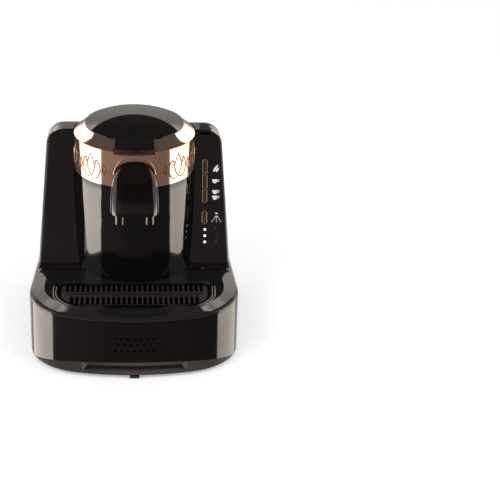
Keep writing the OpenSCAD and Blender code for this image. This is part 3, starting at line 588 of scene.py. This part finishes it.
# The deck takes the lightened black gloss: painted reflection.
true_normals(dress("deck_cover", deck_gloss_painted_reflection, 10), deck_normal)
dress("tower_shell", black_gloss, 26)
dress("tank_lid", black_gloss, 26)
dress("column_shell", black_gloss, 30)
dress("base_pan", black_satin)
dress("rear_cover", black_satin, 30, 0.4)
dress("brew_pot", steel)
dress("lid_liner", grey_inside)
dress("feet", black_rubber)
dress("base_screws", steel)
dress("cover_screws", steel)
dress("drip_tray", black_gloss, 30, 0.6, 3)
dress("drip_grille", black_grille, 30, 0.25)
dress("grille_bar", dark_red, 30, 0.3)
dress("waste_container", black_satin, 30, 0.5)
dress("cup_size_tab", black_satin, 30, 0.5)
dress("nozzle_left", black_gloss_hood)
dress("nozzle_right", black_gloss_hood)
dress("water_tank", smoked)
dress("tank_grip", black_satin, 30, 0.4)
dress("tank_lid_tab", dull_black, 30, 0.3)
dress("led_lenses", lens, 30, 0.2)
# The faces of the ring's chamfer that point up take the paler copy of the plating: painted light.
second_finish(dress("decor_band", rose_gold, 26), ring_chamfer_painted_light, lambda middle, facet: (
    0.3 < facet.z < 0.95 and middle.z > RING_BEVEL_Z))
dress("spout_socket", rose_gold)
true_normals(dress("brew_lid", black_gloss, 26), dome_normal)
true_normals(dress("spout_hood", black_gloss_hood, 26), hood_normal)
for key in ("button_flame", "button_one_cup", "button_two_cups", "button_rinse"):
    dress(key, bronze, 30, 0.45, 3)


# ---------------------------------------------------------------- relief, rims and printed symbols

def smooth_line(points, steps=7):
    """A flat line that runs smoothly through the points."""
    row = [Vector(p) for p in (points[0], *points, points[-1])]
    line = []
    for a, b, c, d in zip(row, row[1:], row[2:], row[3:]):
        for k in range(steps):
            t = k / steps
            line.append(0.5 * (2 * b + (c - a) * t + (2 * a - 5 * b + 4 * c - d) * t ** 2
                               + (3 * b - a - 3 * c + d) * t ** 3))
    return line + [row[-1]]


def flipped(points):
    """The mirror image of a flat line."""
    return [(-x, y) for x, y in points]


def half_round(height, sink, steps=6):
    """Cross-section of a raised line: offsets in half widths, heights in millimetres."""
    arch = [(math.cos(math.pi * k / steps), height * math.sin(math.pi * k / steps))
            for k in range(steps + 1)]
    return arch + [(-1, -sink), (1, -sink)]


def wire(line, width, section, closed=False, taper=0.0):
    """Sweeps a cross-section along a flat line. Points are across, up and outwards."""
    count, size = len(line), len(section)
    points, faces = [], []
    for i, here in enumerate(line):
        ahead = line[(i + 1) % count] if closed or i < count - 1 else here
        behind = line[i - 1] if closed or i else here
        along = (Vector(ahead) - Vector(behind)).normalized()
        share = 1 - taper * abs(2 * i / (count - 1) - 1) ** 2.5
        for offset, out in section:
            shift = offset * width / 2 * share
            points.append((here[0] - along[1] * shift, here[1] + along[0] * shift,
                           out * share if out > 0 else out))
    for i in range(count if closed else count - 1):
        a, b = i * size, (i + 1) % count * size
        faces += [(a + j, a + (j + 1) % size, b + (j + 1) % size, b + j) for j in range(size)]
    if not closed:
        faces += [tuple(range(size)), tuple(range(count * size - 1, (count - 1) * size - 1, -1))]
    return points, faces


def plate(outline, low, high):
    """A thin flat plate with the given outline."""
    count = len(outline)
    points = [(x, y, level) for level in (low, high) for x, y in outline]
    faces = [tuple(range(count)), tuple(range(2 * count - 1, count - 1, -1))]
    faces += [(i, (i + 1) % count, count + (i + 1) % count, count + i) for i in range(count)]
    return points, faces


def bead(x, y, radius, height, sink, round_steps=14, rise_steps=3):
    """A small round dome."""
    points, faces = [], []
    levels = [(1, -sink)] + [(math.cos(math.pi / 2 * k / rise_steps), height * math.sin(
        math.pi / 2 * k / rise_steps)) for k in range(rise_steps)]
    for share, out in levels:
        for i in range(round_steps):
            turn = 2 * math.pi * i / round_steps
            reach = radius * share
            points.append((x + reach * math.cos(turn), y + reach * math.sin(turn), out))
    points.append((x, y, height))
    for k in range(len(levels) - 1):
        for i in range(round_steps):
            j = (i + 1) % round_steps
            faces.append((k * round_steps + i, k * round_steps + j,
                          (k + 1) * round_steps + j, (k + 1) * round_steps + i))
    last = (len(levels) - 1) * round_steps
    faces += [(last + i, last + (i + 1) % round_steps, len(points) - 1) for i in range(round_steps)]
    faces.append(tuple(range(round_steps - 1, -1, -1)))
    return points, faces


def joined(shapes, placing):
    """Puts shapes together in one list of points and faces, each point placed in space."""
    points, faces = [], []
    for shape_points, shape_faces in shapes:
        faces += [tuple(i + len(points) for i in face) for face in shape_faces]
        points += [placing(*point) for point in shape_points]
    return points, faces


def on_ring(across, up, out):
    """A point on the gilt ring, seen from the axis of the column."""
    turn = across / RING_R
    reach = RING_R + out
    return reach * math.sin(turn), -reach * math.cos(turn), up


def on_face(x, z):
    """Placing on the leaning face of the tower, round the given point of it."""
    lean_c, lean_s = math.cos(FACE_ANGLE), math.sin(FACE_ANGLE)

    def placing(across, up, out):
        return (x + across, FACE_Y + FACE_LEAN * (z - FACE_Z) + up * lean_s - out * lean_c,
                z + up * lean_c + out * lean_s)
    return placing


def closed_shape(name, shapes, placing, angle):
    """An object of closed shapes, placed in space."""
    piece = add_object(name, mesh_from(name, *joined(shapes, placing)))
    clean(piece.data, 1e-7, True)
    shade(piece, angle)
    return piece


def closed_piece(name, shapes, placing, node, finish, angle=40):
    """A finished piece that moves with a node."""
    finish_piece(closed_shape(name, shapes, placing, angle), body_of(node), finish)


class Pattern(NodeTree):
    """Geometry nodes with named inputs, ending in Realize Instances and Set Material."""

    def __init__(self, name, **kinds):
        self.tree = bpy.data.node_groups.new(name, "GeometryNodeTree")
        self.tree.interface.new_socket(name="Geometry", in_out="OUTPUT",
                                       socket_type="NodeSocketGeometry")
        self.keys = {}
        for key, kind in {"Geometry": "Geometry", **kinds, "Finish": "Material"}.items():
            self.keys[key] = self.tree.interface.new_socket(
                name=key, in_out="INPUT", socket_type="NodeSocket" + kind).identifier
        self.group = self.make("NodeGroupInput", {}, {})

    def __getitem__(self, name):
        return Field(self, self.group.outputs[name])

    def end(self, instances):
        """Makes the instances real, gives them the finish and closes the pattern."""
        real = self.node("GeometryNodeRealizeInstances", {}, {"Geometry": instances})
        real = self.node("GeometryNodeSetMaterial", {}, {
            "Geometry": real, "Material": self["Finish"]})
        self.make("NodeGroupOutput", {}, {"Geometry": real})

    def run(self, piece, **values):
        """Runs the pattern on a piece and leaves a plain mesh."""
        live = piece.modifiers.new("pattern", "NODES")
        live.node_group = self.tree
        for key, value in values.items():
            live[self.keys[key]] = value
        settle(piece)


round_the_column = Pattern("round_the_column", First="Float", Pitch="Float", Count="Int",
                           Gap="Float")
turn_by = round_the_column["First"] + round_the_column["Pitch"] * round_the_column.node(
    "GeometryNodeInputIndex", {}, {})
spots = round_the_column.node("GeometryNodePoints", {}, {
    "Count": round_the_column["Count"], "Position": (0, COLUMN_Y * MM, 0)})
turned = round_the_column.node("FunctionNodeEulerToRotation", {}, {
    "Euler": round_the_column.node("ShaderNodeCombineXYZ", {}, {"Z": turn_by * (math.pi / 180)})})
round_the_column.end(round_the_column.node("GeometryNodeInstanceOnPoints", {}, {
    "Points": spots, "Instance": round_the_column["Geometry"], "Rotation": turned,
    "Selection": (turn_by * turn_by).above(round_the_column["Gap"] * round_the_column["Gap"])}))


def ring_relief(name, shapes, first, pitch, count, gap, finish):
    """Repeats a motif round the visible part of the gilt ring, clear of the hood."""
    piece = closed_shape(name, shapes, on_ring, 50)
    round_the_column.run(piece, First=float(first), Pitch=float(pitch), Count=count,
                         Gap=float(gap), Finish=finish)
    finish_piece(piece, body_of("decor_band"), finish)


stem = half_round(0.42, 0.05)
shadow = [(1, -0.05), (0.85, 0.09), (-0.85, 0.09), (-1, -0.05)]
leaf = [(0, 224.5), (3.6, 229.5), (5.9, 236.5), (4.6, 244), (0, 253.4)]
scroll = [(0, 224.5), (6, 221.6), (11.6, 225), (14.6, 232.5), (13.6, 241), (9.9, 245.8),
          (7.4, 243.6), (8.2, 240.2), (10.4, 240.8)]
seed = [(0, 228.5), (2.3, 235), (0, 242.5)]
MOTIFS = {"tulip": ((leaf, scroll), -75, 6), "almond": ((seed,), -60, 5)}
MOTIF_PITCH, MOTIF_GAP = 30, 20
# Each stroke of the relief is a flat dark band, painted shade, with a raised gilt line along its
# middle.
for kind, width, section, finish in (("ground", 2.1, shadow, relief_painted_shade),
                                     ("line", 0.5, stem, rose_gold_relief)):
    for motif, (halves, first, count) in MOTIFS.items():
        rows = [smooth_line(row) for half in halves for row in (half, flipped(half))]
        ring_relief("ring_%s_%s" % (motif, kind),
                    [wire(row, width, section, False, 0.45) for row in rows],
                    first, MOTIF_PITCH, count, MOTIF_GAP, finish)


# Half width of the finger notch, and the arcs of the well: centre, radius, first turn and steps
NOTCH_HALF = 37.0
WELL_ARCS = ((61, -78, 34, -90, 14), (85, -60.5, 10, 0, 8))


def well_line(outset):
    """Line round the well of the drip tray, open at the finger notch."""
    line = [(NOTCH_HALF, WELL_FRONT_Y - outset)]
    for cx, cy, radius, start, steps in WELL_ARCS:
        for k in range(steps + 1):
            turn = math.radians(start + 90 * k / steps)
            reach = radius + outset
            line.append((cx + reach * math.cos(turn), cy + reach * math.sin(turn)))
    return line + flipped(reversed(line))


# The raised lines round the well take the dark metallic finish: painted highlight on gloss black
# plastic.
closed_piece("well_lip", [wire(well_line(outset), 2.1, half_round(0.6, 0.3, 8), False, 0.3)
                          for outset in (1.3, 4.6)],
             lambda across, up, out: (across, up, DECK_Z + out), "deck_cover", well_lip_painted_highlight, 50)

# Rounded front edge of the tower's top, left free where the tab of the tank lid sits
SHOULDER_R = 22
SHOULDER_X = 87
SHOULDER_SINK = 0.3
SHOULDER_START = (76.8, SHOULDER_R - SHOULDER_SINK)
SHOULDER = [SHOULDER_START] + [
    (SHOULDER_X + SHOULDER_R * math.sin(math.radians(a)),
     SHOULDER_R * math.cos(math.radians(a)) - SHOULDER_SINK) for a in range(0, 76, 5)]
tube = [(math.cos(math.radians(a)), 0.6 * math.sin(math.radians(a))) for a in range(0, 360, 36)]
edges = [flipped(SHOULDER), [(x, z) for x, z in SHOULDER if x > TAB_X + TAB_HALF],
         [SHOULDER_START, (TAB_X - TAB_HALF, SHOULDER_START[1])]]
closed_piece("crown_edge", [wire([(x, z / math.cos(FACE_ANGLE)) for x, z in line], 1.2, tube)
                            for line in edges],
             on_face(0, 240), "tower_shell", black_gloss, 60)


def pill_line(inset, top_round, bottom_round):
    """Outline of a key, moved inwards."""
    half, tall = BUTTON_W / 2, PILL_L / 2
    line = []
    for side, is_round in ((1, top_round), (-1, bottom_round)):
        if is_round:
            arcs = [(0, tall - half, half - inset, 0, 180, 18)]
        else:
            corner = 0.5
            arcs = [(half - inset - corner, tall - inset - corner, corner, 0, 90, 4),
                    (-(half - inset - corner), tall - inset - corner, corner, 90, 180, 4)]
        for cx, cy, radius, start, end, steps in arcs:
            for k in range(steps + 1):
                turn = math.radians(start + (end - start) * k / steps)
                line.append((side * (cx + radius * math.cos(turn)),
                             side * (cy + radius * math.sin(turn))))
    return line


KEYS = {"button_flame": (216.64, True, False), "button_one_cup": (197.92, False, False),
        "button_two_cups": (179.21, False, True), "button_rinse": (152, True, True)}
# Each key gets a thin raised line of lighter bronze round its top: painted highlight along its
# edge.
for key, (z, top_round, bottom_round) in KEYS.items():
    closed_piece(key + "_rim", [wire(pill_line(0.72, top_round, bottom_round), 0.8,
                                     [(x, KEY_PROUD + y) for x, y in half_round(0.16, 0.1)], True)],
                 on_face(BUTTON_X, z), key, key_edge_painted_highlight)

# Symbols beside the keys: flame, one cup, two cups, rinsing spray; and those beside the lamps
KEY_SYMBOLS_AT = (102.6, 214.6)
LAMP_SYMBOLS_AT = (104.6, 129)
INK = (-0.02, 0.07)
flat_ink = [(1, INK[1]), (-1, INK[1]), (-1, INK[0]), (1, INK[0])]


def leaf_shape(x, y, length, width, turn):
    """Pointed leaf outline with its foot at x, y."""
    shares = (0, 0.12, 0.26, 0.42, 0.6, 0.8, 1)
    edge = [(width * math.sin(math.pi * t ** 0.75), length * t) for t in shares]
    edge += [(-0.8 * across, up) for across, up in reversed(edge[1:-1])]
    c, q = math.cos(math.radians(turn)), math.sin(math.radians(turn))
    return plate([(x + u * c + v * q, y - u * q + v * c) for u, v in edge], *INK)


def cup_shape(x, y):
    """A small cup seen from the side, with its ear."""
    bowl = [(-4.3, 2.8), (2.3, 2.8), (2.2, 0.8), (1.3, -1.1), (0.1, -2.4), (-2.1, -2.4),
            (-3.3, -1.1), (-4.2, 0.8)]
    ear = smooth_line([(2.2, 2.2), (4.2, 1.9), (3.9, 0.2), (1.8, -0.5)], 4)
    return [plate([(x + u, y + v) for u, v in bowl], *INK),
            wire([(x + u, y + v) for u, v in ear], 0.9, flat_ink)]


def spray_shape(x, y):
    """A spray head over three rows of drops."""
    head = [(x + 1.9 * math.cos(math.radians(a)), y + 3.6 + 1.7 * math.sin(math.radians(a)))
            for a in range(0, 181, 15)]
    drops = [wire([(x + 5.4 * k * t, y + 2.2 - 8.2 * t) for t in ends], 1.0, flat_ink)
             for k in (-1, 0, 1) for ends in ((0.16, 0.4), (0.58, 0.76), (0.93, 1.1))]
    return [plate(head, *INK)] + drops


closed_piece("key_symbols", [leaf_shape(-3.2, -5.2, 11.6, 2.0, 34),
                             leaf_shape(0.4, -5.6, 7.4, 1.35, 34)]
             + cup_shape(0, -17.6) + cup_shape(0.3, -31.6) + cup_shape(0.3, -38.9)
             + spray_shape(1.7, -63.4), on_face(*KEY_SYMBOLS_AT), "tower_shell", white_print, 20)
chevron = [(-1.8, -0.6), (0, 1.4), (1.8, -0.6), (0.9, -0.6), (0, 0.4), (-0.9, -0.6)]
closed_piece("lamp_symbols", [leaf_shape(-0.9, 7.2, 3.4, 0.8, 0), plate(chevron, *INK),
                              bead(0, -8.7, 1.2, INK[1], -INK[0])],
             on_face(*LAMP_SYMBOLS_AT), "tower_shell", faint_print, 20)


# ---------------------------------------------------------------- studio

# Reach of the far cards, the side cards and the wall behind the machine, in metres
FAR_R = 2.6
NEAR_R = 0.62
WALL_R = 0.2
CARD_COLUMNS, CARD_ROWS = 36, 24
# Rise of the edge between the lower and upper side cards, and what it climbs along them
SPLIT, SPLIT_CLIMB = -14.4, -1.4
FLOOR_R = 2.2
FLOOR_GLOW = 0.34
SKY_LIGHT = 0.72


def card(name, turn, rise, radiance, radius=FAR_R, middle=(0, 0, 0.15), upright=False, level=None,
         slant=(0, 0)):
    """A card round the machine that only mirror-like surfaces see. It is a patch of a sphere, or an
    upright wall with rise as its heights in metres. Level gives its brightness at each turn and
    rise, and slant is how far its lower and upper edges climb from the first turn to the last."""
    points, levels = [], []
    for j in range(CARD_ROWS + 1):
        for i in range(CARD_COLUMNS + 1):
            az = turn[0] + (turn[1] - turn[0]) * i / CARD_COLUMNS
            low, high = [edge + climb * i / CARD_COLUMNS for edge, climb in zip(rise, slant)]
            el = low + (high - low) * j / CARD_ROWS
            reach = radius * (1.0 if upright else math.cos(math.radians(el)))
            height = el if upright else middle[2] + radius * math.sin(math.radians(el))
            where = (middle[0] + reach * math.sin(math.radians(az)),
                     middle[1] - reach * math.cos(math.radians(az)), height)
            points.append([1000 * along for along in where])
            levels.append(level(az, el) if level else 1.0)
    row = CARD_COLUMNS + 1
    faces = [(j * row + i, j * row + i + 1, (j + 1) * row + i + 1, (j + 1) * row + i)
             for j in range(CARD_ROWS) for i in range(CARD_COLUMNS)]
    piece = add_object(name, mesh_from(name, points, faces))
    piece.data.attributes.new("level", "FLOAT", "POINT").data.foreach_set("value", levels)
    paint = bpy.data.materials.new(name)
    nodes = NodeTree(paint)
    dim = nodes.node("ShaderNodeAttribute", {"attribute_name": "level"}, {}, "Fac")
    nodes.make("ShaderNodeOutputMaterial", {}, {"Surface": nodes.node(
        "ShaderNodeEmission", {}, {"Color": radiance, "Strength": dim})})
    paint.cycles.emission_sampling = "NONE"
    piece.data.materials.append(paint)
    piece.visible_camera = False
    piece.visible_diffuse = False
    piece.visible_transmission = False
    piece.visible_shadow = False
    piece.visible_volume_scatter = False


def warm(level, blue=0.8):
    """Radiance of a warm white, with its blue as a share of its red."""
    return (level, level * (0.5 + blue * 0.5), level * blue)


def side_card_level(az, el):
    """Side cards: dimmer towards the back and towards the floor."""
    back = between(abs(az), (63, 122), (1.15, 0.6))
    return back * between(el, (-32, -20, -9, -3, 34), (0.68, 1.0, 1.0, 0.42, 0.38))


def back_card_level(az, height):
    """Wall behind the machine: dim near the floor in the middle, even at its sides."""
    middle = between(height, (0.0, 0.24, 0.405), (0.1, 0.22, 1.26))
    sides = between(height, (0.25, 0.27, 0.32, 0.34, 0.36, 0.38), (1.45, 2.6, 2.6, 1.6, 2.1, 3.7))
    return middle + (sides - middle) * between(abs(az - 180), (34, 50), (0, 1))


def front_level(az, el):
    """Dark front of the studio: a little light from the left, and the pale floor below."""
    left = between(az, (-72, -35, -8, 76), (1.15, 1.15, 0.7, 0.52))
    floor_light = between(az, (-72, -25, 0, 25, 76), (3.6, 4.6, 7.0, 5.5, 3.6)) - left
    return (left * between(el, (-14, -4, 20, 30, 60), (1.0, 2.3, 1.4, 0.5, 0.35))
            + floor_light * between(el, (-42, -37, 60), (1.0, 0.0, 0.0)))


near = (0, COLUMN_Y * MM, 0.15)
for side, turn, lower, upper in (("left", (-63, -122), warm(6.4), warm(3.3, 0.97)),
                                 ("right", (67, 122), warm(4.9, 0.76), warm(3.0, 0.97))):
    card("card_" + side, turn, (-42, SPLIT), lower, NEAR_R, near,
         level=side_card_level, slant=(0, SPLIT_CLIMB))
    card("card_top_" + side, turn, (SPLIT, 34), upper, NEAR_R, near,
         level=side_card_level, slant=(SPLIT_CLIMB, 0))
card("card_back", (108, 252), (0.0, 0.405), warm(1.0, 0.87), WALL_R, near,
     upright=True, level=back_card_level)
card("flag_front", (-72, 76), (-85, 60), (0.17, 0.15, 0.14), level=front_level)
card("flag_low", (76, 288), (-85, -5), warm(0.6, 0.94), FAR_R - 0.1)
card("flag_behind", (76, 288), (-5, 31), warm(0.9, 0.9), FAR_R - 0.1)
card("flag_top", (76, 288), (31, 90), (0.1, 0.09, 0.09))
card("flag_top_front", (-72, 76), (60, 90), (0.1, 0.078, 0.062))

floor_mesh = bpy.data.meshes.new("floor")
ring = bmesh.new()
bmesh.ops.create_circle(ring, cap_ends=True, radius=FLOOR_R, segments=96)
ring.to_mesh(floor_mesh)
ring.free()
floor = add_object("floor", floor_mesh)
ground = Finish("pale_floor", Base_Color=(0.82, 0.82, 0.82), Roughness=0.9,
                Specular_IOR_Level=0.0, Emission_Color=(1, 1, 1))
seen = ground.node("ShaderNodeLightPath", {}, {}, "Is Camera Ray")
ground.set(Emission_Strength=seen * FLOOR_GLOW)
floor.data.materials.append(ground.material)
floor.visible_glossy = False

world = bpy.data.worlds.new("studio")
scene.world = world
sky = NodeTree(world)
rays = sky.make("ShaderNodeLightPath", {}, {})
camera_ray, glossy_ray, clear_ray = [
    Field(sky, rays.outputs[kind])
    for kind in ("Is Camera Ray", "Is Glossy Ray", "Is Transmission Ray")]
lit, white = [sky.node("ShaderNodeBackground", {}, {"Color": (1, 1, 1), "Strength": strength})
              for strength in (SKY_LIGHT, 1.0)]
sky.make("ShaderNodeOutputWorld", {}, {"Surface": sky.node("ShaderNodeMixShader", {}, {
    0: camera_ray.either(glossy_ray).either(clear_ray), 1: lit, 2: white})})


def soft_lamp(name, where, size, power):
    """A square soft box that looks at the middle of the machine."""
    lamp = bpy.data.lights.new(name, "AREA")
    lamp.shape = "SQUARE"
    lamp.size = size
    lamp.energy = power
    piece = add_object(name, lamp)
    piece.location = where
    toward = Vector((0, 0, 0.13)) - Vector(where)
    piece.rotation_euler = toward.to_track_quat("-Z", "Y").to_euler()
    piece.visible_glossy = False
    piece.visible_camera = False


soft_lamp("key_lamp", (-1.1, -1.3, 1.7), 1.1, 16)
soft_lamp("fill_lamp", (1.3, -0.9, 1.3), 1.1, 9)

EYE = (0, -1.631, 0.901)
EYE_DOWN, EYE_ROLL = 25.88, 4.68
EYE_FOCUS = 1409.4 / 500

eye = bpy.data.cameras.new("camera")
eye.sensor_width = 36
eye.lens = EYE_FOCUS * eye.sensor_width
camera = add_object("camera", eye)
camera.matrix_world = (Matrix.Translation(EYE)
                       @ Matrix.Rotation(math.radians(90 - EYE_DOWN), 4, "X")
                       @ Matrix.Rotation(math.radians(-EYE_ROLL), 4, "Y"))
scene.camera = camera
scene.view_settings.view_transform = "Standard"
